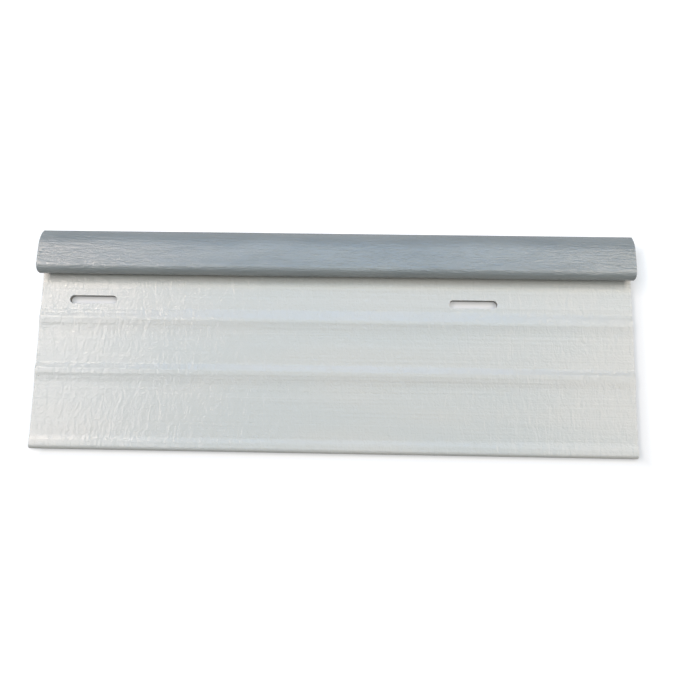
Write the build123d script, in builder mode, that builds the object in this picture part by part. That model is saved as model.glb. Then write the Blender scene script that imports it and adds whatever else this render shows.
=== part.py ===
"""Door sweep: a rigid white carrier flange and the soft grey bulb that slides into it.

Both pieces are extrusions, so each is one cross-section drawn in the YZ plane and pushed
along X. The sweep lies on its flat back: +X runs along its length, +Y goes across it from
the beaded edge to the bulb, and +Z comes out of its face. The origin is at the middle of
the length and width, on the back plane. Sizes are in millimetres.
"""

import os
from math import atan2, cos, hypot, pi, radians, sqrt, tan

from build123d import *

# Overall sizes
LENGTH = 315.0
WIDTH = 117.5
PANEL_WALL = 3.0
BULB_WIDTH = 25.1
BULB_RISE = 10.9

# Screw slots: the first is counted from the square-cut right end, the rest by their pitch
SLOT_LENGTH = 25.4
SLOT_WIDTH = 4.4
SLOT_PITCH = 203.2
SLOT_FROM_END = 83.6
SLOT_FROM_BULB_EDGE = 37.8
SLOT_END_MARGIN = 10.0

# Stiffening ribs: distance of the crest from the bulb's outer edge, run of the slope on the
# bulb's side, width of the crest, and run of the slope on the bead's side. The foot is crisp
# on the bulb's side and fades out on the bead's side
RIBS = [
    (48.2, 5.0, 1.3, 4.6),
    (76.3, 3.4, 2.0, 5.0),
]
RIB_HEIGHT = 0.9
RIB_BULB_FOOT_RADIUS = 4.0
RIB_BEAD_FOOT_RADIUS = 30.0
RIB_CREST_RADIUS = 3.0

# Bead rolled along the free edge
BEAD_HEIGHT = 0.6
BEAD_ROLL = 2.0
BEAD_CREST = 2.4
BEAD_RUN = 2.4
BEAD_FOOT_RADIUS = 8.0
BEAD_CREST_RADIUS = 11.0
EDGE_BREAK = 0.4

# T-slot track on the carrier, under the bulb
TRACK_FLOOR = 1.4
TRACK_DEPTH = 2.4
TRACK_MOUTH = 4.1
TRACK_LIP = 1.4
TRACK_WALL = 1.8
TRACK_ROOT_RADIUS = 0.5

# Bulb: its skin, the solid nose that overhangs the panel, the tilted crown, the shoulder
# that rolls over to the outer edge, and the skirt that hangs past the carrier
BULB_WALL = 1.8
NOSE_OVERHANG = 3.85
NOSE_DEPTH = 6.2
NOSE_RADIUS = 4.0
NOSE_LIP_RADIUS = 0.8
CROWN_TILT = 4.0
SHOULDER_RUN = 6.75
SIDE_HEIGHT = 3.4
SKIRT_WIDTH = 7.45
SKIRT_LIFT = 0.3
SKIRT_RADIUS = 1.0
BOTTOM_RADIUS = 2.0
CHAMBER_RADIUS = 0.8

# Share of the shoulder's slope that each of its two arcs takes: just short of half
SHOULDER_ARC_SHARE = 0.499

# Sliding fit of the bulb on the carrier, all round the T-foot and beside the track
FIT_GAP = 0.3

# Places that follow from the sizes above
bulb_edge = WIDTH / 2
bead_edge = -WIDTH / 2
nose_edge = bulb_edge - BULB_WIDTH
neck_edge = nose_edge + NOSE_OVERHANG
skirt_edge = bulb_edge - SKIRT_WIDTH
bulb_top = PANEL_WALL + BULB_RISE

track_end = skirt_edge - FIT_GAP
track_middle = (neck_edge + track_end) / 2
track_width = track_end - neck_edge - 2 * TRACK_WALL
track_roof = TRACK_FLOOR + TRACK_DEPTH
track_top = track_roof + TRACK_LIP
foot_top = track_roof - FIT_GAP
web_bottom = track_top + FIT_GAP

slot_row = bulb_edge - SLOT_FROM_BULB_EDGE
slot_room = LENGTH - SLOT_FROM_END - SLOT_LENGTH / 2 - SLOT_END_MARGIN
slot_count = int(slot_room // SLOT_PITCH) + 1
slot_middle = LENGTH / 2 - SLOT_FROM_END - SLOT_PITCH * (slot_count - 1) / 2

section_plane = Plane.YZ.offset(-LENGTH / 2)


def outline(corners):
    """Draw a closed outline from (y, z, corner radius) triples."""
    points = [(y, z) for y, z, _ in corners]
    radii = [radius for _, _, radius in corners]
    FilletPolyline(*points, radius=radii, close=True)


def rib_corners(crest_from_edge, bulb_side_run, crest_width, bead_side_run):
    """Give the four corners of one rib, walking from the bulb towards the bead."""
    crest = bulb_edge - crest_from_edge
    crest_top = PANEL_WALL + RIB_HEIGHT
    return [
        (crest + crest_width / 2 + bulb_side_run, PANEL_WALL, RIB_BULB_FOOT_RADIUS),
        (crest + crest_width / 2, crest_top, RIB_CREST_RADIUS),
        (crest - crest_width / 2, crest_top, RIB_CREST_RADIUS),
        (crest - crest_width / 2 - bead_side_run, PANEL_WALL, RIB_BEAD_FOOT_RADIUS),
    ]


def inset(corners, wall, least_radius):
    """Move the sides of a counter-clockwise outline inwards by a wall."""
    moved = []
    befores = corners[-1:] + corners[:-1]
    afters = corners[1:] + corners[:1]
    for before, corner, after in zip(befores, corners, afters):
        side_in = (Vector(*corner[:2]) - Vector(*before[:2])).normalized()
        side_out = (Vector(*after[:2]) - Vector(*corner[:2])).normalized()
        normal_in = Vector(-side_in.Y, side_in.X)
        normal_out = Vector(-side_out.Y, side_out.X)
        mitre = (normal_in + normal_out) * (wall / (1 + normal_in.dot(normal_out)))
        radius = max(corner[2] - wall, least_radius)
        moved.append((corner[0] + mitre.X, corner[1] + mitre.Y, radius))
    return moved


# Carrier flange: flat back, the block that holds the track, ribbed face, rolled bead
bead_top = PANEL_WALL + BEAD_HEIGHT
bead_slope_end = bead_edge + BEAD_ROLL + BEAD_CREST

track_block = [
    (track_end, 0, EDGE_BREAK),
    (track_end, track_top, EDGE_BREAK),
    (neck_edge, track_top, EDGE_BREAK),
    (neck_edge, PANEL_WALL, TRACK_ROOT_RADIUS),
]
ribbed_face = [corner for rib in RIBS for corner in rib_corners(*rib)]
bead = [
    (bead_slope_end + BEAD_RUN, PANEL_WALL, BEAD_FOOT_RADIUS),
    (bead_slope_end, bead_top, BEAD_CREST_RADIUS),
    (bead_edge, bead_top, BEAD_ROLL),
    (bead_edge, 0, EDGE_BREAK),
]

with BuildPart() as carrier_flange:
    with BuildSketch(section_plane):
        with BuildLine():
            outline(track_block + ribbed_face + bead)
        make_face()
        with Locations((track_middle, TRACK_FLOOR)):
            Rectangle(track_width, TRACK_DEPTH, align=(Align.CENTER, Align.MIN), mode=Mode.SUBTRACT)
        with Locations((track_middle, track_roof)):
            Rectangle(TRACK_MOUTH, 2 * TRACK_LIP, mode=Mode.SUBTRACT)
    extrude(amount=LENGTH)
    with BuildSketch(Plane(origin=(slot_middle, slot_row, 0))):
        with GridLocations(SLOT_PITCH, 0, slot_count, 1):
            SlotOverall(SLOT_LENGTH, SLOT_WIDTH)
    extrude(amount=PANEL_WALL, mode=Mode.SUBTRACT)
carrier_flange.part.label = "carrier_flange"

# Bulb seal: its back is a tilted crown, a steeper slope and an upright outer side. Two arcs
# round it, which touch halfway down the slope, and the lower one ends at the side's top. So
# the slope's drop and half its length add up to the full drop, which makes a quadratic
crown_slope = tan(radians(CROWN_TILT))
nose_corner = bulb_top + NOSE_RADIUS * (crown_slope + 1 / cos(radians(CROWN_TILT)) - 1)
crown_end = bulb_edge - SHOULDER_RUN
crown_low = nose_corner - crown_slope * (crown_end - nose_edge)
crown_at_neck = nose_corner - crown_slope * NOSE_OVERHANG

full_drop = crown_low - SIDE_HEIGHT - SKIRT_LIFT
slope_drop = (4 * full_drop - sqrt(4 * full_drop**2 + 3 * SHOULDER_RUN**2)) / 3
slope_angle = atan2(slope_drop, SHOULDER_RUN)
slope_reach = SHOULDER_ARC_SHARE * hypot(SHOULDER_RUN, slope_drop)
shoulder = crown_low - slope_drop
crown_radius = slope_reach / tan((slope_angle - radians(CROWN_TILT)) / 2)
shoulder_radius = slope_reach / tan((pi / 2 - slope_angle) / 2)

bulb_back = [
    (skirt_edge, web_bottom, EDGE_BREAK),
    (skirt_edge, SKIRT_LIFT, SKIRT_RADIUS),
    (bulb_edge, SKIRT_LIFT, BOTTOM_RADIUS),
    (bulb_edge, shoulder, shoulder_radius),
    (crown_end, crown_low, crown_radius),
]
nose = [
    (nose_edge, nose_corner, NOSE_RADIUS),
    (nose_edge, bulb_top - NOSE_DEPTH, NOSE_LIP_RADIUS),
    (neck_edge, bulb_top - NOSE_DEPTH, EDGE_BREAK),
]
neck_foot = (neck_edge, web_bottom, EDGE_BREAK)
behind_nose = (neck_edge, crown_at_neck, EDGE_BREAK)
stem_width = TRACK_MOUTH - 2 * FIT_GAP
stem_height = web_bottom + BULB_WALL / 2 - foot_top
foot_width = track_width - 2 * FIT_GAP
foot_thickness = TRACK_DEPTH - 2 * FIT_GAP

with BuildPart() as bulb_seal:
    with BuildSketch(section_plane):
        with BuildLine():
            outline(bulb_back + nose + [neck_foot])
        make_face()
        with BuildLine():
            outline(inset(bulb_back + [behind_nose, neck_foot], BULB_WALL, CHAMBER_RADIUS))
        make_face(mode=Mode.SUBTRACT)
        with Locations((track_middle, foot_top)):
            Rectangle(stem_width, stem_height, align=(Align.CENTER, Align.MIN))
            Rectangle(foot_width, foot_thickness, align=(Align.CENTER, Align.MAX))
    extrude(amount=LENGTH)
bulb_seal.part.label = "bulb_seal"

os.makedirs("parts", exist_ok=True)
for piece in (carrier_flange.part, bulb_seal.part):
    export_step(piece, f"parts/{piece.label}.step")
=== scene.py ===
"""Looks of a door sweep: a gloss white carrier flange and the satin grey bulb in its track.

Both are extrusions, so each piece is one cross-section in the YZ plane run along X. The
cross-sections are drawn in millimetres and the meshes are made in metres, in the frame of
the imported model: +X along the sweep, +Y from the beaded edge to the bulb, +Z out of its face.
"""

from math import acos, ceil, cos, hypot, pi, radians, sin, tan

import bmesh
import bpy
from mathutils import Matrix, Vector, noise


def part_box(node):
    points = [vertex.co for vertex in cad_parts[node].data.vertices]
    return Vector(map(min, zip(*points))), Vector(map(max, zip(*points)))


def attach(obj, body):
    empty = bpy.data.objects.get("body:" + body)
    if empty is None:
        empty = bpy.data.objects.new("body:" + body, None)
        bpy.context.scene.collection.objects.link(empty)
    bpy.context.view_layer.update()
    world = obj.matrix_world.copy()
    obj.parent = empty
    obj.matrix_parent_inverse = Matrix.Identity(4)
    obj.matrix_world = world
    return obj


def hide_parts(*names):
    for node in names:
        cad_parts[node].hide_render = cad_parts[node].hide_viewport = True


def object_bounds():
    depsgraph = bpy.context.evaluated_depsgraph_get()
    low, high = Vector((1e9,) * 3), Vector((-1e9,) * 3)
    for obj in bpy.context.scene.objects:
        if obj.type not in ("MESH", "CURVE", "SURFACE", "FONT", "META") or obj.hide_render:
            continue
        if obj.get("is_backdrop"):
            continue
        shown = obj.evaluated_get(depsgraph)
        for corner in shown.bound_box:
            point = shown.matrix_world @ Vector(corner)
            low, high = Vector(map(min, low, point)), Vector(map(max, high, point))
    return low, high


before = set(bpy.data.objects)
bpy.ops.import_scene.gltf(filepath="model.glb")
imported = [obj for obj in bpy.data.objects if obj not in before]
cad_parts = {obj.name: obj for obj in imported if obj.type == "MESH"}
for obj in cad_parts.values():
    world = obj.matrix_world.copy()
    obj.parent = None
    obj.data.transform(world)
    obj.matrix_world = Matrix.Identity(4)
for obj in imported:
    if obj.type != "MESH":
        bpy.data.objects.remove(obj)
cad_low, cad_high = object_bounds()

MM = 0.001

# Faces of the two pieces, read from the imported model, in millimetres
flange_low, flange_high = [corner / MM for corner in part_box("carrier_flange")]
bulb_low, bulb_high = [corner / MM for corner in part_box("bulb_seal")]
LEFT_END, RIGHT_END = flange_low.x, flange_high.x
BEAD_EDGE, TRACK_END = flange_low.y, flange_high.y
NOSE_EDGE, BULB_EDGE = bulb_low.y, bulb_high.y
BULB_TOP = bulb_high.z
TRACK_TOP = flange_high.z
SKIRT_BOTTOM = 0.3

# Carrier flange
PANEL_WALL = 3.0
NECK_EDGE = NOSE_EDGE + 3.85
TRACK_FLOOR, TRACK_ROOF = 1.4, 3.8
TRACK_WALL = 1.8
TRACK_MOUTH = 4.1
TRACK_MIDDLE = (NECK_EDGE + TRACK_END) / 2
TRACK_CORNER, MOUTH_TOP_BREAK, MOUTH_ROOF_BREAK = 0.3, 0.25, 0.2
NECK_ROOT = 0.5
RIB_HEIGHT = 0.9
RIB_BULB_FOOT, RIB_CREST, RIB_BEAD_FOOT = 4.0, 3.0, 30.0
RIBS = [(48.2, 5.0, 1.3, 4.6), (76.3, 3.4, 2.0, 5.0)]
BEAD_TOP = PANEL_WALL + 0.6
BEAD_ROLL, BEAD_CREST, BEAD_RUN = 2.0, 2.4, 2.4
BEAD_FOOT_RADIUS, BEAD_CREST_RADIUS = 8.0, 11.0
SHARP_BREAK = 0.4

# Screw slots, and the plain strip of panel around each that is rebuilt with the slot in it
SLOT_PITCH = 203.2
SLOT_MIDDLES = [RIGHT_END - 83.6 - SLOT_PITCH, RIGHT_END - 83.6]
SLOT_ROW = BULB_EDGE - 37.8
SLOT_LENGTH, SLOT_WIDTH = 25.4, 4.4
STRIP_HALF_WIDTH, STRIP_HALF_LENGTH = 4.0, 15.0
STRIP_STEPS = 20
STRIP_SPREAD = [0.3, 0.6, 0.85]
SLOT_RIM = 0.12
SLOT_BACK_RIM = 0.08
SLOT_WALL_HEIGHTS = [2.2, 1.6, 1.0, 0.5, SLOT_BACK_RIM]

# Bulb
FIT_GAP = 0.3
WEB_BOTTOM = TRACK_TOP + FIT_GAP
SKIRT_EDGE = TRACK_END + FIT_GAP
BULB_WALL = 1.8
NOSE_BOTTOM = BULB_TOP - 6.2
CROWN_START, CROWN_END = (NOSE_EDGE, 14.19), (BULB_EDGE - 6.75, 12.9)
SHOULDER = 7.9
CROWN_RADIUS, SHOULDER_RADIUS, NOSE_RADIUS = 14.3, 8.3, 4.0
SKIRT_RADIUS, BOTTOM_RADIUS = 1.0, 2.0
NOSE_LIP_RADIUS, NOSE_ROOT_RADIUS, CHAMBER_RADIUS = 0.8, 0.4, 0.8
STEM_HALF_WIDTH = 1.75
STEM_ROOT, STEM_FOOT_ROOT, FOOT_CORNER = 0.2, 0.15, 0.3

# How finely the meshes are cut
STATION_STEP = 1.2
FLAT_STEP = 1.4
SKIN_STEP = 0.42
CHAMBER_STEP = 1.0
ARC_TURN, ARC_STEP = radians(6), 0.4
RIM_TURNS = 4
FLANGE_CUT_RIM, BULB_CUT_RIM = 0.15, 0.3
RIM_WEAR_WIDTH = 0.9
END_TOLERANCE, SLOT_TOLERANCE = 0.01, 0.02
END_FACE_NORMAL = 0.9

# Relief of the bulb's skin: slow wander of the soft profile and the lengthwise grain, and
# how they fade in above the nose's underside and outside the skirt
BULB_WANDER, BULB_WANDER_LENGTH, BULB_WANDER_WIDTH = 0.3, 70.0, 40.0
BULB_WANDER_SEED = 3.7
GRAIN_DEPTH, GRAIN_LENGTH, GRAIN_WIDTH = 0.08, 8.0, 1.2
NOSE_FADE = 1.0
SIDE_FADE_START, SIDE_FADE = 1.2, 0.8


# ---------------------------------------------------------------- cross-sections


def rounded_outline(corners, step):
    """Points of a closed outline given as (y, z, radius) corners: arcs in small turns,
    straight runs in equal steps."""
    points = []
    for index, (y, z, radius) in enumerate(corners):
        here = Vector((y, z))
        before = Vector(corners[index - 1][:2])
        after = Vector(corners[(index + 1) % len(corners)][:2])
        arc = corner_arc(before, here, after, radius)
        if points:
            points += straight_run(points[-1], arc[0], step)
        points += arc
    points += straight_run(points[-1], points[0], step)
    return points


def straight_run(start, end, step):
    """The points between two ends of a straight run, without the ends."""
    steps = max(1, ceil((end - start).length / step - 0.01))
    return [start.lerp(end, i / steps) for i in range(1, steps)]


def corner_arc(before, here, after, radius):
    """Points of the arc that rounds one corner, or the corner alone if it is sharp."""
    inwards = (before - here).normalized()
    outwards = (after - here).normalized()
    turn = pi - acos(max(-1.0, min(1.0, inwards.dot(outwards))))
    if radius == 0 or turn < 1e-4:
        return [here]
    reach = radius * tan(turn / 2)
    middle = here + (inwards + outwards).normalized() * hypot(reach, radius)
    start = here + inwards * reach - middle
    side = here + outwards * reach - middle
    side = (side - start * (side.dot(start) / radius**2)).normalized() * radius
    pieces = max(2, ceil(turn / ARC_TURN), ceil(turn * radius / ARC_STEP))
    angles = [turn * i / pieces for i in range(pieces + 1)]
    return [middle + start * cos(angle) + side * sin(angle) for angle in angles]


def inset(corners, wall, least_radius):
    """Move the sides of a counter-clockwise outline inwards by a wall."""
    moved = []
    befores = corners[-1:] + corners[:-1]
    afters = corners[1:] + corners[:1]
    for before, corner, after in zip(befores, corners, afters):
        side_in = (Vector(corner[:2]) - Vector(before[:2])).normalized()
        side_out = (Vector(after[:2]) - Vector(corner[:2])).normalized()
        normal_in = Vector((-side_in.y, side_in.x))
        normal_out = Vector((-side_out.y, side_out.x))
        mitre = (normal_in + normal_out) * (wall / (1 + normal_in.dot(normal_out)))
        radius = max(corner[2] - wall, least_radius)
        moved.append((corner[0] + mitre.x, corner[1] + mitre.y, radius))
    return moved


def inward_normals(points):
    """Unit normals that point into a counter-clockwise outline, one for each point."""
    normals = []
    for index, point in enumerate(points):
        along = points[(index + 1) % len(points)] - points[index - 1]
        normals.append(Vector((-along.y, along.x)).normalized())
    return normals


def rib_corners(crest_from_edge, bulb_side_run, crest_width, bead_side_run):
    """The four corners of one rib, walking from the bulb towards the bead."""
    crest = BULB_EDGE - crest_from_edge
    top = PANEL_WALL + RIB_HEIGHT
    return [
        (crest + crest_width / 2 + bulb_side_run, PANEL_WALL, RIB_BULB_FOOT),
        (crest + crest_width / 2, top, RIB_CREST),
        (crest - crest_width / 2, top, RIB_CREST),
        (crest - crest_width / 2 - bead_side_run, PANEL_WALL, RIB_BEAD_FOOT),
    ]


def flange_section():
    """The carrier's outline, counter-clockwise: track block, slot strip, ribs, bead, back."""
    mouth_left = TRACK_MIDDLE - TRACK_MOUTH / 2
    mouth_right = TRACK_MIDDLE + TRACK_MOUTH / 2
    track_left = NECK_EDGE + TRACK_WALL
    track_right = TRACK_END - TRACK_WALL
    across = [STRIP_HALF_WIDTH * (1 - 2 * i / STRIP_STEPS) for i in range(STRIP_STEPS + 1)]
    strip = [SLOT_ROW + y for y in across]
    bead_slope = BEAD_EDGE + BEAD_ROLL + BEAD_CREST
    track_block = [
        (TRACK_END, 0, SHARP_BREAK),
        (TRACK_END, TRACK_TOP, SHARP_BREAK),
        (mouth_right, TRACK_TOP, MOUTH_TOP_BREAK),
        (mouth_right, TRACK_ROOF, MOUTH_ROOF_BREAK),
        (track_right, TRACK_ROOF, TRACK_CORNER),
        (track_right, TRACK_FLOOR, TRACK_CORNER),
        (track_left, TRACK_FLOOR, TRACK_CORNER),
        (track_left, TRACK_ROOF, TRACK_CORNER),
        (mouth_left, TRACK_ROOF, MOUTH_ROOF_BREAK),
        (mouth_left, TRACK_TOP, MOUTH_TOP_BREAK),
        (NECK_EDGE, TRACK_TOP, SHARP_BREAK),
        (NECK_EDGE, PANEL_WALL, NECK_ROOT),
    ]
    face_strip = [(y, PANEL_WALL, 0) for y in strip]
    ribs = [corner for rib in RIBS for corner in rib_corners(*rib)]
    bead = [
        (bead_slope + BEAD_RUN, PANEL_WALL, BEAD_FOOT_RADIUS),
        (bead_slope, BEAD_TOP, BEAD_CREST_RADIUS),
        (BEAD_EDGE, BEAD_TOP, BEAD_ROLL),
        (BEAD_EDGE, 0, SHARP_BREAK),
    ]
    back_strip = [(y, 0, 0) for y in reversed(strip)]
    return track_block + face_strip + ribs + bead + back_strip


def bulb_section():
    """The bulb's outline and the outline of its chamber, both counter-clockwise."""
    stem_left, stem_right = TRACK_MIDDLE - STEM_HALF_WIDTH, TRACK_MIDDLE + STEM_HALF_WIDTH
    foot_left = NECK_EDGE + TRACK_WALL + FIT_GAP
    foot_right = TRACK_END - TRACK_WALL - FIT_GAP
    foot_top, foot_bottom = TRACK_ROOF - FIT_GAP, TRACK_FLOOR + FIT_GAP
    back = [
        (SKIRT_EDGE, WEB_BOTTOM, SHARP_BREAK),
        (SKIRT_EDGE, SKIRT_BOTTOM, SKIRT_RADIUS),
        (BULB_EDGE, SKIRT_BOTTOM, BOTTOM_RADIUS),
        (BULB_EDGE, SHOULDER, SHOULDER_RADIUS),
        (*CROWN_END, CROWN_RADIUS),
    ]
    nose = [
        (*CROWN_START, NOSE_RADIUS),
        (NOSE_EDGE, NOSE_BOTTOM, NOSE_LIP_RADIUS),
        (NECK_EDGE, NOSE_BOTTOM, NOSE_ROOT_RADIUS),
    ]
    neck_foot = (NECK_EDGE, WEB_BOTTOM, SHARP_BREAK)
    foot = [
        (stem_left, WEB_BOTTOM, STEM_ROOT),
        (stem_left, foot_top, STEM_FOOT_ROOT),
        (foot_left, foot_top, FOOT_CORNER),
        (foot_left, foot_bottom, FOOT_CORNER),
        (foot_right, foot_bottom, FOOT_CORNER),
        (foot_right, foot_top, FOOT_CORNER),
        (stem_right, foot_top, STEM_FOOT_ROOT),
        (stem_right, WEB_BOTTOM, STEM_ROOT),
    ]
    slope = (CROWN_START[1] - CROWN_END[1]) / (CROWN_END[0] - CROWN_START[0])
    behind_nose = (NECK_EDGE, CROWN_START[1] - slope * (NECK_EDGE - NOSE_EDGE), SHARP_BREAK)
    chamber = inset(back + [behind_nose, neck_foot], BULB_WALL, CHAMBER_RADIUS)
    return back + nose + [neck_foot] + foot, chamber


# ---------------------------------------------------------------- meshes


def stations(breaks):
    """Places along X, in equal steps of about STATION_STEP between the given breaks."""
    places = [breaks[0]]
    for start, end in zip(breaks, breaks[1:]):
        steps = ceil((end - start) / STATION_STEP)
        places += [start + (end - start) * i / steps for i in range(1, steps + 1)]
    return places


def run_section(bm, points, places, rim):
    """Run an outline along X, with its first and last rings drawn in along the outline's
    normals so that both cut ends get a rounded rim. Returns the rings of vertices."""
    normals = inward_normals(points)
    rings = []
    for x, drawn_in in end_places(places, rim):
        ring = []
        for point, normal in zip(points, normals):
            y, z = point + normal * drawn_in
            ring.append(bm.verts.new((x, y, z)))
        rings.append(ring)
    return rings


def end_places(places, rim):
    """(x, how far the outline is drawn in) for every ring, with quarter-round cut ends."""
    turns = [pi / 2 * i / RIM_TURNS for i in range(RIM_TURNS)]
    left = [(places[0] + rim * (1 - cos(turn)), rim * (1 - sin(turn))) for turn in turns]
    right = [(places[-1] - rim * (1 - cos(turn)), rim * (1 - sin(turn))) for turn in turns]
    full = [places[0] + rim, *places[1:-1], places[-1] - rim]
    return left + [(x, 0.0) for x in full] + right[::-1]


def skin(bm, rings, skipped=frozenset()):
    """Faces between neighbouring rings, apart from the (ring, point) pairs in skipped."""
    for i in range(len(rings) - 1):
        count = len(rings[i])
        for j in range(count):
            if (i, j) not in skipped:
                k = (j + 1) % count
                bm.faces.new((rings[i][j], rings[i][k], rings[i + 1][k], rings[i + 1][j]))


def cap(bm, *loops):
    """Fill a cut end between its outline and any holes in it. It closes the flange's ends,
    and leaves gaps at the bulb's."""
    edges = []
    for loop in loops:
        for vert, following in zip(loop, loop[1:] + loop[:1]):
            edges.append(bm.edges.get((vert, following)))
    bmesh.ops.triangle_fill(bm, use_beauty=True, edges=edges)


def slot_outline(middle, radius, side_steps, end_steps):
    """A full-round slot's outline from the top right corner of its strip, clockwise from
    above, with as many points along its sides and ends as the strip around it has."""
    straight = (SLOT_LENGTH - SLOT_WIDTH) / 2
    points = []
    for end in (1, -1):
        for i in range(end_steps):
            angle = pi / 2 - pi * i / end_steps
            points.append((end * (straight + radius * cos(angle)), end * radius * sin(angle)))
        for i in range(side_steps):
            points.append((end * straight * (1 - 2 * i / side_steps), -end * radius))
    return [Vector((middle + x, SLOT_ROW + y)) for x, y in points]


def strip_border(rings, first, last, near_bulb, near_bead):
    """The vertices round one slot's strip, clockwise from above, from its right-hand
    corner at the bulb's side."""
    step = 1 if near_bead > near_bulb else -1
    across = list(range(near_bulb, near_bead, step))
    border = [rings[last][j] for j in across]
    border += [rings[i][near_bead] for i in range(last, first, -1)]
    border += [rings[first][j] for j in range(near_bead, near_bulb, -step)]
    border += [rings[i][near_bulb] for i in range(first, last)]
    return border


def cut_slot(bm, middle, face_border, back_border, side_steps):
    """Fill one strip of the face and back, with the punched slot between them. The face's
    rim is rolled in by the punch and the back's is nearly sharp."""
    radius = SLOT_WIDTH / 2
    loops = [face_border]
    rim_foot = slot_outline(middle, radius + SLOT_RIM, side_steps, STRIP_STEPS)
    for share in STRIP_SPREAD:
        ring = []
        for vert, foot in zip(face_border, rim_foot):
            ring.append(vert.co.lerp(Vector((*foot, PANEL_WALL)), share))
        loops.append(ring)
    for i in range(RIM_TURNS + 1):
        turn = pi / 2 * i / RIM_TURNS
        wider = radius + SLOT_RIM * (1 - sin(turn))
        outline = slot_outline(middle, wider, side_steps, STRIP_STEPS)
        height = PANEL_WALL - SLOT_RIM * (1 - cos(turn))
        loops.append([Vector((*point, height)) for point in outline])
    wall = slot_outline(middle, radius, side_steps, STRIP_STEPS)
    for height in SLOT_WALL_HEIGHTS:
        loops.append([Vector((*point, height)) for point in wall])
    back_foot = slot_outline(middle, radius + SLOT_BACK_RIM, side_steps, STRIP_STEPS)
    loops.append([Vector((*point, 0)) for point in back_foot])
    for share in reversed(STRIP_SPREAD):
        ring = []
        for vert, foot in zip(back_border, back_foot):
            ring.append(vert.co.lerp(Vector((*foot, 0)), share))
        loops.append(ring)
    rings = [face_border]
    for loop in loops[1:]:
        rings.append([bm.verts.new(place) for place in loop])
    rings.append(back_border)
    skin(bm, rings)


def finished_piece(name, bm, body, node):
    """Turn a millimetre bmesh into a smooth piece in metres that rides on its body."""
    bmesh.ops.recalc_face_normals(bm, faces=bm.faces)
    mark_rims(bm)
    for face in bm.faces:
        face.smooth = abs(face.normal.x) < END_FACE_NORMAL
    mesh = bpy.data.meshes.new(name)
    bm.to_mesh(mesh)
    bm.free()
    mesh.transform(Matrix.Scale(MM, 4))
    piece = bpy.data.objects.new(name, mesh)
    bpy.context.scene.collection.objects.link(piece)
    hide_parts(node)
    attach(piece, body)
    return piece


def mark_rims(bm):
    """Store three masks on the vertices: rim, for wear near the cut ends and slots, cut, for
    sawn or punched faces, and punched, for the slots' walls alone."""
    rim = bm.verts.layers.float.new("rim")
    cut = bm.verts.layers.float.new("cut")
    punched = bm.verts.layers.float.new("punched")
    for vert in bm.verts:
        from_end = min(vert.co.x - LEFT_END, RIGHT_END - vert.co.x)
        from_slot = slot_distance(vert.co)
        nearest = min(from_end, abs(from_slot))
        vert[rim] = max(0.0, 1.0 - nearest / RIM_WEAR_WIDTH)
        on_wall = SLOT_BACK_RIM <= vert.co.z < PANEL_WALL - SLOT_RIM
        in_slot = abs(from_slot) < SLOT_TOLERANCE and on_wall
        vert[cut] = 1.0 if from_end < END_TOLERANCE or in_slot else 0.0
        vert[punched] = 1.0 if in_slot else 0.0


def slot_distance(place):
    """How far a point is outside the nearest slot's outline, seen from above."""
    straight = (SLOT_LENGTH - SLOT_WIDTH) / 2
    gaps = []
    for middle in SLOT_MIDDLES:
        beyond = max(0.0, abs(place.x - middle) - straight)
        gaps.append(hypot(beyond, place.y - SLOT_ROW) - SLOT_WIDTH / 2)
    return min(gaps)


def near(value, target):
    """Whether two places are the same, in millimetres."""
    return abs(value - target) < 1e-4


def make_flange():
    """The white carrier: its section run along X, with a strip rebuilt round each slot. The
    vertices of the replaced strips stay in the mesh, loose."""
    points = rounded_outline(flange_section(), FLAT_STEP)
    breaks = [LEFT_END]
    for middle in SLOT_MIDDLES:
        breaks += [middle - STRIP_HALF_LENGTH, middle + STRIP_HALF_LENGTH]
    places = stations(breaks + [RIGHT_END])
    bm = bmesh.new()
    rings = run_section(bm, points, places, FLANGE_CUT_RIM)
    ring_x = [ring[0].co.x for ring in rings]
    bulb_side, bead_side = SLOT_ROW + STRIP_HALF_WIDTH, SLOT_ROW - STRIP_HALF_WIDTH

    def point_at(y, z):
        return next(j for j, p in enumerate(points) if near(p.x, y) and near(p.y, z))

    face_from, face_to = point_at(bulb_side, PANEL_WALL), point_at(bead_side, PANEL_WALL)
    back_from, back_to = point_at(bead_side, 0), point_at(bulb_side, 0)
    skipped = set()
    strips = []
    for middle in SLOT_MIDDLES:
        first = next(i for i, x in enumerate(ring_x) if near(x, middle - STRIP_HALF_LENGTH))
        last = next(i for i, x in enumerate(ring_x) if near(x, middle + STRIP_HALF_LENGTH))
        strips.append((middle, first, last))
        for i in range(first, last):
            skipped |= {(i, j) for j in range(face_from, face_to)}
            skipped |= {(i, j) for j in range(back_from, back_to)}
    skin(bm, rings, skipped)
    for middle, first, last in strips:
        face_border = strip_border(rings, first, last, face_from, face_to)
        back_border = strip_border(rings, first, last, back_to, back_from)
        cut_slot(bm, middle, face_border, back_border, last - first)
    cap(bm, rings[0])
    cap(bm, rings[-1])
    return finished_piece("white_carrier_flange", bm, "carrier", "carrier_flange")


def make_bulb():
    """The grey bulb: its outline and chamber run along X. The fill between them at the two
    cut ends is incomplete, and leaves open edges there."""
    outline, chamber = bulb_section()
    places = stations([bulb_low.x, bulb_high.x])
    bm = bmesh.new()
    outer = run_section(bm, rounded_outline(outline, SKIN_STEP), places, BULB_CUT_RIM)
    inner_points = rounded_outline(chamber, CHAMBER_STEP)[::-1]
    inner = run_section(bm, inner_points, places, BULB_CUT_RIM)
    skin(bm, outer)
    skin(bm, inner)
    sink_skin(bm, [vert for ring in outer for vert in ring])
    cap(bm, outer[0], inner[0])
    cap(bm, outer[-1], inner[-1])
    return finished_piece("grey_bulb_seal", bm, "bulb", "bulb_seal")


# ---------------------------------------------------------------- relief


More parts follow.
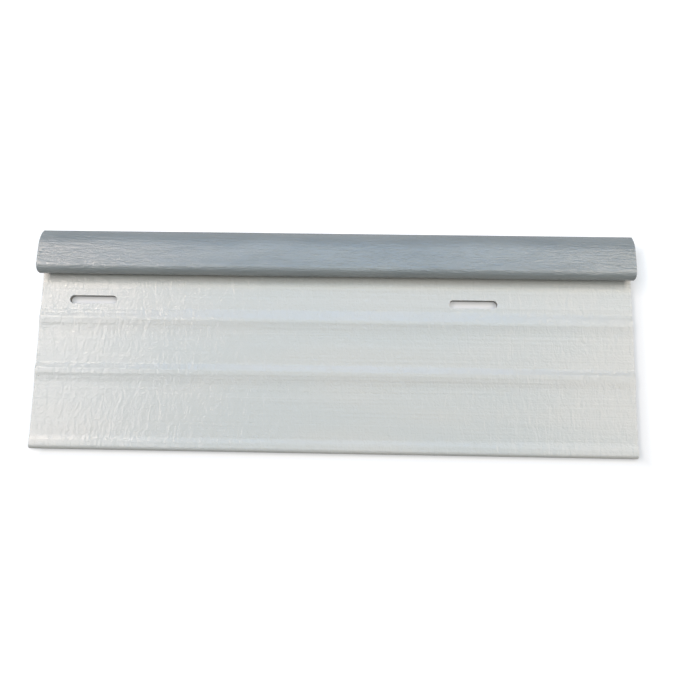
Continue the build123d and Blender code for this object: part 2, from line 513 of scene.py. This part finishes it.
def skin_share(place):
    """How much of the relief a point of the bulb's outline gets: all on the crown, nose and
    outer side, none where it meets the carrier."""
    above = (place.z - NOSE_BOTTOM) / NOSE_FADE
    outside = (place.y - (BULB_EDGE - SIDE_FADE_START)) / SIDE_FADE
    return max(0.0, min(1.0, max(above, outside)))


def sink_skin(bm, outer_verts):
    """Sink the bulb's skin by its slow wander and its grain, always inwards, so that the
    piece stays within its own outline."""
    bm.normal_update()
    moves = []
    for vert in outer_verts:
        place = vert.co
        share = skin_share(place)
        along, across = place.x / BULB_WANDER_LENGTH, place.y / BULB_WANDER_WIDTH
        slow = noise.noise(Vector((along, across, BULB_WANDER_SEED)))
        fine = noise.noise(
            Vector((place.x / GRAIN_LENGTH, place.y / GRAIN_WIDTH, place.z / GRAIN_WIDTH))
        )
        depth = BULB_WANDER * (0.5 + 0.5 * slow) + GRAIN_DEPTH * (0.5 + 0.5 * fine)
        moves.append((vert, vert.normal * (share * depth)))
    for vert, move in moves:
        vert.co -= move


# ---------------------------------------------------------------- node helpers


# Places of the colour sockets on a mix node, whose names it shares with other kinds
MIX_SHARE, MIX_FIRST, MIX_SECOND, MIX_RESULT = 0, 6, 7, 2


def node(tree, kind, inputs=None, **settings):
    """Add a node, set its options, and set or link its inputs."""
    made = tree.nodes.new(kind)
    for name, value in settings.items():
        setattr(made, name, value)
    for name, value in (inputs or {}).items():
        if isinstance(value, bpy.types.NodeSocket):
            tree.links.new(value, made.inputs[name])
        else:
            made.inputs[name].default_value = value
    return made


def arithmetic(tree, operation, first, second=0.0):
    """The result of one sum on two values."""
    return node(tree, "ShaderNodeMath", {0: first, 1: second}, operation=operation).outputs[0]


def between(tree, value, low, high, to_low=0.0, to_high=1.0):
    """Map a value's range onto another, smoothly and clamped."""
    made = node(
        tree,
        "ShaderNodeMapRange",
        {"Value": value, "From Min": low, "From Max": high, "To Min": to_low, "To Max": to_high},
        interpolation_type="SMOOTHSTEP",
    )
    return made.outputs["Result"]


def mixed(tree, share, first, second):
    """A colour between two others."""
    colours = {MIX_SHARE: share, MIX_FIRST: first, MIX_SECOND: second}
    return node(tree, "ShaderNodeMix", colours, data_type="RGBA").outputs[MIX_RESULT]


def new_group(name, inputs, outputs):
    """A shader node group with named sockets, and the sockets to use inside it. Inputs are
    (name, type, default)."""
    group = bpy.data.node_groups.new(name, "ShaderNodeTree")
    for label, kind, default in inputs:
        socket = group.interface.new_socket(label, in_out="INPUT", socket_type=kind)
        if default is not None:
            socket.default_value = default
    for label in outputs:
        group.interface.new_socket(label, in_out="OUTPUT", socket_type="NodeSocketFloat")
    given = group.nodes.new("NodeGroupInput").outputs
    result = group.nodes.new("NodeGroupOutput").inputs
    return group, given, result


def placed(tree, group, **inputs):
    """Place a node group in a tree, with its inputs by name."""
    named = {label.capitalize(): value for label, value in inputs.items()}
    return node(tree, "ShaderNodeGroup", named, node_tree=group).outputs


# ---------------------------------------------------------------- shared effects


def make_streaks():
    """Soft streaks of a given length along X and width across it, in metres."""
    group, given, result = new_group(
        "streaks",
        [
            ("Place", "NodeSocketVector", None),
            ("Length", "NodeSocketFloat", 0.01),
            ("Width", "NodeSocketFloat", 0.001),
            ("Wander", "NodeSocketFloat", 0.0),
        ],
        ["Height"],
    )
    size = node(
        group,
        "ShaderNodeCombineXYZ",
        {"X": given["Length"], "Y": given["Width"], "Z": given["Width"]},
    )
    scaled = node(
        group,
        "ShaderNodeVectorMath",
        {0: given["Place"], 1: size.outputs[0]},
        operation="DIVIDE",
    )
    pattern = node(
        group,
        "ShaderNodeTexNoise",
        {
            "Vector": scaled.outputs[0],
            "Scale": 1.0,
            "Detail": 2.0,
            "Roughness": 0.55,
            "Distortion": given["Wander"],
        },
    )
    group.links.new(pattern.outputs["Fac"], result["Height"])
    return group


def make_specks():
    """Sparse small round specks: one in some of the cells of a given spacing."""
    group, given, result = new_group(
        "specks",
        [
            ("Place", "NodeSocketVector", None),
            ("Spacing", "NodeSocketFloat", 0.01),
            ("Size", "NodeSocketFloat", 0.0004),
            ("Share", "NodeSocketFloat", 0.2),
        ],
        ["Mask"],
    )
    per_metre = arithmetic(group, "DIVIDE", 1.0, given["Spacing"])
    cells = node(
        group, "ShaderNodeTexVoronoi", {"Vector": given["Place"], "Scale": per_metre}
    )
    chance = node(group, "ShaderNodeSeparateColor", {0: cells.outputs["Color"]})
    picked = arithmetic(group, "LESS_THAN", chance.outputs[0], given["Share"])
    reach = arithmetic(group, "DIVIDE", given["Size"], given["Spacing"])
    inside = arithmetic(group, "DIVIDE", cells.outputs["Distance"], reach)
    round_spot = between(group, inside, 0.5, 1.0, 1.0, 0.0)
    group.links.new(arithmetic(group, "MULTIPLY", round_spot, picked), result["Mask"])
    return group


def make_worn_rims():
    """Wear along rims and cut edges: the piece's own rim mask, broken up by noise."""
    group, given, result = new_group(
        "worn_rims",
        [
            ("Place", "NodeSocketVector", None),
            ("Rim", "NodeSocketFloat", 0.0),
            ("Patch", "NodeSocketFloat", 0.002),
        ],
        ["Mask"],
    )
    per_metre = arithmetic(group, "DIVIDE", 1.0, given["Patch"])
    patches = node(
        group, "ShaderNodeTexNoise", {"Vector": given["Place"], "Scale": per_metre, "Detail": 3.0}
    )
    broken = between(group, patches.outputs["Fac"], 0.35, 0.6)
    group.links.new(arithmetic(group, "MULTIPLY", broken, given["Rim"]), result["Mask"])
    return group


streaks = make_streaks()
specks = make_specks()
worn_rims = make_worn_rims()


# ---------------------------------------------------------------- materials

COOL_WHITE = (0.570, 0.605, 0.595, 1)
WARM_WHITE = (0.595, 0.615, 0.595, 1)
RUBBED_WHITE = (0.74, 0.755, 0.75, 1)
# Dark brown used for specks of grime, and for grime with painted shade on the slots' walls
GRIME_AND_SHADE = (0.20, 0.19, 0.17, 1)
SLATE_GREY = (0.235, 0.272, 0.284, 1)
PALE_GREY = (0.285, 0.322, 0.330, 1)
RUBBED_GREY = (0.40, 0.43, 0.45, 1)

# How strongly rubbed rims, specks, and the grime with painted shade on the slots' walls show
RUBBED_SHARE = 0.5
WHITE_SPECK_SHARE, GREY_SPECK_SHARE = 0.6, 0.4
SLOT_GRIME_AND_SHADE_SHARE = 0.7

# Lowest roughness of sawn and punched faces, and the depth of each material's relief
WHITE_CUT_ROUGHNESS, GREY_CUT_ROUGHNESS = 0.6, 0.65
WHITE_RELIEF, GREY_RELIEF, FLOOR_RELIEF = 0.0001, 0.0004, 0.00001

# The floor's paint, its glow under the sweep (dimmed as a painted shadow), beside it and far
# away, the colour of the glow, and where the painted shadow lies
FLOOR_DULL, FLOOR_PALE = (0.54, 0.54, 0.54, 1), (0.57, 0.57, 0.57, 1)
FLOOR_ROUGHNESS = 0.9
PAINTED_SHADOW_GLOW, TABLE_GLOW, FAR_GLOW = 0.20, 0.62, 0.97
FAR_START, FAR_END = 0.4, 2.2
TABLE_WHITE = (0.93, 0.97, 1.0, 1)
BLACK = (0, 0, 0, 1)
PAINTED_SHADOW_MIDDLE, PAINTED_SHADOW_SOFTNESS = (0.006, -0.005), 0.010
PAINTED_SHADOW_HALF = (cad_high.x, cad_high.y - 0.003)


def start_material(name):
    """A new material, its tree, and the object's own coordinates."""
    material = bpy.data.materials.new(name)
    material.use_nodes = True
    tree = material.node_tree
    tree.nodes.clear()
    place = tree.nodes.new("ShaderNodeTexCoord").outputs["Object"]
    return material, tree, place


def finish_material(tree, colour, roughness, height, relief, **plain):
    """Close a material with a bump and a Principled BSDF. Plain values are set on it."""
    bump = node(tree, "ShaderNodeBump", {"Height": height, "Distance": relief, "Strength": 1.0})
    inputs = {"Base Color": colour, "Roughness": roughness, "Normal": bump.outputs[0]}
    shader = node(tree, "ShaderNodeBsdfPrincipled", {**inputs, **plain})
    output = node(tree, "ShaderNodeOutputMaterial", {"Surface": shader.outputs[0]})
    output.is_active_output = True


def mask(tree, name):
    """One of the masks that the meshes carry: rim, cut or punched."""
    return node(tree, "ShaderNodeAttribute", attribute_name=name).outputs["Fac"]


def saw_marks(tree, place):
    """Fine saw marks over a cut end, running across the thickness."""
    parts = node(tree, "ShaderNodeSeparateXYZ", {0: place}).outputs
    swapped = {"X": parts["Z"], "Y": parts["Y"], "Z": parts["X"]}
    turned = node(tree, "ShaderNodeCombineXYZ", swapped).outputs[0]
    return placed(tree, streaks, place=turned, length=0.012, width=0.00025)["Height"]


def faded_in(tree, where, share, under, over):
    """Lay one colour over another where a mask says, at a share of its full strength."""
    return mixed(tree, arithmetic(tree, "MULTIPLY", where, share), under, over)


def weighted_sum(tree, *terms):
    """Add up (value, weight) pairs."""
    total = 0.0
    for value, weight in terms:
        total = arithmetic(tree, "ADD", arithmetic(tree, "MULTIPLY", value, weight), total)
    return total


def cut_roughness(tree, cut, skin_roughness, least):
    """The skin's roughness, or at least a given one on cut faces."""
    return arithmetic(tree, "MAXIMUM", skin_roughness, arithmetic(tree, "MULTIPLY", cut, least))


def gloss_white_pvc():
    """Rigid gloss PVC: die lines along it, faint haul-off ripples across it, orange peel,
    a few specks, rubbed rims, sawn ends, and grime with painted shade darkening the slots' walls."""
    material, tree, place = start_material("gloss_white_pvc")
    tone = placed(tree, streaks, place=place, length=0.11, width=0.03)["Height"]
    die_lines = placed(tree, streaks, place=place, length=0.16, width=0.0022)["Height"]
    ripple = placed(tree, streaks, place=place, length=0.0032, width=0.009, wander=1.0)["Height"]
    peel = placed(tree, streaks, place=place, length=0.0030, width=0.0024, wander=2.0)["Height"]
    dots = placed(tree, specks, place=place, spacing=0.012, size=0.0005, share=0.12)["Mask"]
    rim = mask(tree, "rim")
    worn = placed(tree, worn_rims, place=place, rim=rim, patch=0.0016)["Mask"]
    cut = mask(tree, "cut")
    marks = saw_marks(tree, place)

    base = mixed(tree, between(tree, tone, 0.35, 0.65), COOL_WHITE, WARM_WHITE)
    lined = mixed(tree, between(tree, die_lines, 0.55, 0.75, 0.0, 0.12), base, RUBBED_WHITE)
    rubbed = faded_in(tree, worn, RUBBED_SHARE, lined, RUBBED_WHITE)
    spotted = faded_in(tree, dots, WHITE_SPECK_SHARE, rubbed, GRIME_AND_SHADE)
    # The slots' walls are darkened: partly grime, partly painted shade standing in for the shaded
    # recess
    colour = faded_in(tree, mask(tree, "punched"), SLOT_GRIME_AND_SHADE_SHARE, spotted, GRIME_AND_SHADE)

    satin = between(tree, die_lines, 0.3, 0.7, 0.10, 0.15)
    roughness = cut_roughness(tree, cut, satin, WHITE_CUT_ROUGHNESS)
    uncut = arithmetic(tree, "SUBTRACT", 1.0, cut)
    moulded = weighted_sum(tree, (ripple, 2.6), (peel, 1.5), (die_lines, 2.0))
    sawn = weighted_sum(tree, (marks, 1.5))
    height = weighted_sum(tree, (moulded, uncut), (sawn, cut))
    finish_material(tree, colour, roughness, height, WHITE_RELIEF)
    return material


def satin_grey_pvc():
    """Soft satin PVC: wavy lengthwise grain, a fine speckle, rubbed rims and cut ends."""
    material, tree, place = start_material("satin_grey_pvc")
    tone = placed(tree, streaks, place=place, length=0.06, width=0.012)["Height"]
    grain = placed(tree, streaks, place=place, length=0.009, width=0.0010, wander=0.7)["Height"]
    fine = placed(tree, streaks, place=place, length=0.0022, width=0.0008, wander=1.0)["Height"]
    dots = placed(tree, specks, place=place, spacing=0.009, size=0.0004, share=0.1)["Mask"]
    rim = mask(tree, "rim")
    worn = placed(tree, worn_rims, place=place, rim=rim, patch=0.0012)["Mask"]
    cut = mask(tree, "cut")
    marks = saw_marks(tree, place)

    base = mixed(tree, between(tree, tone, 0.3, 0.7), SLATE_GREY, PALE_GREY)
    grained = mixed(tree, between(tree, grain, 0.5, 0.8, 0.0, 0.08), base, RUBBED_GREY)
    rubbed = faded_in(tree, worn, RUBBED_SHARE, grained, RUBBED_GREY)
    colour = faded_in(tree, dots, GREY_SPECK_SHARE, rubbed, GRIME_AND_SHADE)

    satin = between(tree, grain, 0.3, 0.7, 0.14, 0.22)
    roughness = cut_roughness(tree, cut, satin, GREY_CUT_ROUGHNESS)
    uncut = arithmetic(tree, "SUBTRACT", 1.0, cut)
    moulded = weighted_sum(tree, (grain, 0.85), (fine, 0.60))
    sawn = weighted_sum(tree, (marks, 0.3))
    height = weighted_sum(tree, (moulded, uncut), (sawn, cut))
    glossier = {"Specular IOR Level": 1.0}
    finish_material(tree, colour, roughness, height, GREY_RELIEF, **glossier)
    return material


def outside_box(tree, parts, middle, half):
    """How far a point is outside an upright box, seen from above. Inside it is negative."""
    gaps = []
    for axis, centre, reach in zip("XY", middle, half):
        offset = arithmetic(tree, "SUBTRACT", parts[axis], centre)
        gaps.append(arithmetic(tree, "SUBTRACT", arithmetic(tree, "ABSOLUTE", offset), reach))
    return arithmetic(tree, "MAXIMUM", *gaps)


def pale_floor_paint():
    """White lit table, whose glow dims softly under and beside the sweep in a painted shadow.
    The camera sees the glow, and it lights nothing."""
    material, tree, place = start_material("pale_floor_paint")
    mottle = placed(tree, streaks, place=place, length=0.4, width=0.4)["Height"]
    colour = mixed(tree, mottle, FLOOR_DULL, FLOOR_PALE)
    parts = node(tree, "ShaderNodeSeparateXYZ", {0: place}).outputs
    # Painted shadow: the glow is dimmed in a soft box round the sweep, offset to its right and
    # towards the bead
    outside_painted_shadow = outside_box(tree, parts, PAINTED_SHADOW_MIDDLE, PAINTED_SHADOW_HALF)
    away = node(tree, "ShaderNodeVectorMath", {0: place}, operation="LENGTH").outputs["Value"]
    glow_with_painted_shadow = between(tree, outside_painted_shadow, -PAINTED_SHADOW_SOFTNESS, PAINTED_SHADOW_SOFTNESS, PAINTED_SHADOW_GLOW, TABLE_GLOW)
    far_glow = between(tree, away, FAR_START, FAR_END, 0.0, FAR_GLOW - TABLE_GLOW)
    glow = arithmetic(tree, "ADD", glow_with_painted_shadow, far_glow)
    seen = node(tree, "ShaderNodeLightPath").outputs["Is Camera Ray"]
    shown = arithmetic(tree, "MULTIPLY", glow, seen)
    lit = {"Emission Color": mixed(tree, shown, BLACK, TABLE_WHITE), "Emission Strength": 1.0}
    finish_material(tree, colour, FLOOR_ROUGHNESS, mottle, FLOOR_RELIEF, **lit)
    return material


# ---------------------------------------------------------------- pieces

flange = make_flange()
flange.data.materials.append(gloss_white_pvc())
bulb = make_bulb()
bulb.data.materials.append(satin_grey_pvc())


# ---------------------------------------------------------------- studio


def make_floor():
    """A large pale floor under the sweep."""
    bm = bmesh.new()
    bmesh.ops.create_grid(bm, x_segments=FLOOR_STEPS, y_segments=FLOOR_STEPS, size=FLOOR_HALF_SIDE)
    mesh = bpy.data.meshes.new("floor")
    bm.to_mesh(mesh)
    bm.free()
    floor = bpy.data.objects.new("floor", mesh)
    floor.location = (0, 0, cad_low.z - FLOOR_GAP)
    bpy.context.scene.collection.objects.link(floor)
    mesh.materials.append(pale_floor_paint())
    floor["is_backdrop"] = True


def soft_panel(name, low, high, height, colour, brightness):
    """A flat soft light that faces down: its low and high corner in X and Y, in metres."""
    light = bpy.data.lights.new(name, "AREA")
    light.shape = "RECTANGLE"
    light.size = high[0] - low[0]
    light.size_y = high[1] - low[1]
    light.color = colour
    light.energy = brightness * pi * light.size * light.size_y
    panel = bpy.data.objects.new(name, light)
    panel.location = ((low[0] + high[0]) / 2, (low[1] + high[1]) / 2, height)
    panel.visible_camera = False
    bpy.context.scene.collection.objects.link(panel)


def make_world():
    """Dim even light from all round, and a pale backdrop for the camera alone."""
    world = bpy.data.worlds.new("studio_air")
    world.use_nodes = True
    tree = world.node_tree
    tree.nodes.clear()
    dim = node(tree, "ShaderNodeBackground", {"Color": AIR_COLOUR, "Strength": AIR_STRENGTH})
    pale = node(tree, "ShaderNodeBackground", {"Color": BACKDROP_COLOUR, "Strength": 1.0})
    seen = node(tree, "ShaderNodeLightPath").outputs["Is Camera Ray"]
    shown = node(tree, "ShaderNodeMixShader", {0: seen, 1: dim.outputs[0], 2: pale.outputs[0]})
    node(tree, "ShaderNodeOutputWorld", {"Surface": shown.outputs[0]})
    bpy.context.scene.world = world


def make_camera():
    """Camera almost straight above, a little towards the beaded edge."""
    lens = bpy.data.cameras.new("camera")
    lens.lens = CAMERA_LENS
    lens.clip_start = CAMERA_CLIP_START
    camera = bpy.data.objects.new("camera", lens)
    camera.location = (cad_low + cad_high) / 2 + CAMERA_OFFSET
    camera.rotation_euler = CAMERA_TURN
    bpy.context.scene.collection.objects.link(camera)
    bpy.context.scene.camera = camera


# Soft lights, all at one height: name, low and high corner in X and Y, colour, brightness.
# Their edges are placed for what the panel and the bulb reflect
LIGHT_HEIGHT = 1.0
SOFT_LIGHTS = [
    ("window_light", (-0.35, 0.25), (0.42, 0.60), (0.72, 0.88, 1.0), 2.34),
    ("high_window", (-0.42, 0.60), (0.42, 0.85), (0.22, 0.50, 1.0), 3.25),
    ("overhead_light", (-0.35, -0.20), (0.42, 0.25), (0.80, 0.98, 1.0), 1.05),
    ("left_fill", (-0.50, -0.20), (-0.35, 0.60), (0.92, 0.92, 1.0), 1.62),
    ("left_card", (-1.00, -0.25), (-0.50, 0.42), (1.0, 0.90, 0.85), 5.54),
    ("left_card_top", (-1.00, 0.42), (-0.50, 0.64), (1.0, 0.86, 0.76), 12.41),
    ("right_card", (0.42, -0.60), (1.10, 0.43), (1.0, 0.89, 0.80), 3.25),
    ("right_card_top", (0.42, 0.43), (1.10, 0.60), (1.0, 0.88, 0.76), 6.68),
    ("back_card", (-1.10, 0.85), (0.45, 1.40), (0.60, 0.74, 1.0), 0.72),
]
FLOOR_HALF_SIDE, FLOOR_STEPS = 4.0, 8
FLOOR_GAP = 0.0003
AIR_COLOUR = (0.92, 0.97, 1.0, 1)
AIR_STRENGTH = 0.06
BACKDROP_COLOUR = (0.90, 0.91, 0.92, 1)
CAMERA_LENS = 38.57
CAMERA_OFFSET = Vector((0.0172, -0.0722, 0.3855))
CAMERA_TURN = (radians(9.88), radians(1.04), radians(1.06))
CAMERA_CLIP_START = 0.01

make_floor()
for name, low, high, colour, brightness in SOFT_LIGHTS:
    soft_panel(name, low, high, LIGHT_HEIGHT, colour, brightness)
make_world()
make_camera()
bpy.context.scene.view_settings.view_transform = "Standard"

low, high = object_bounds()
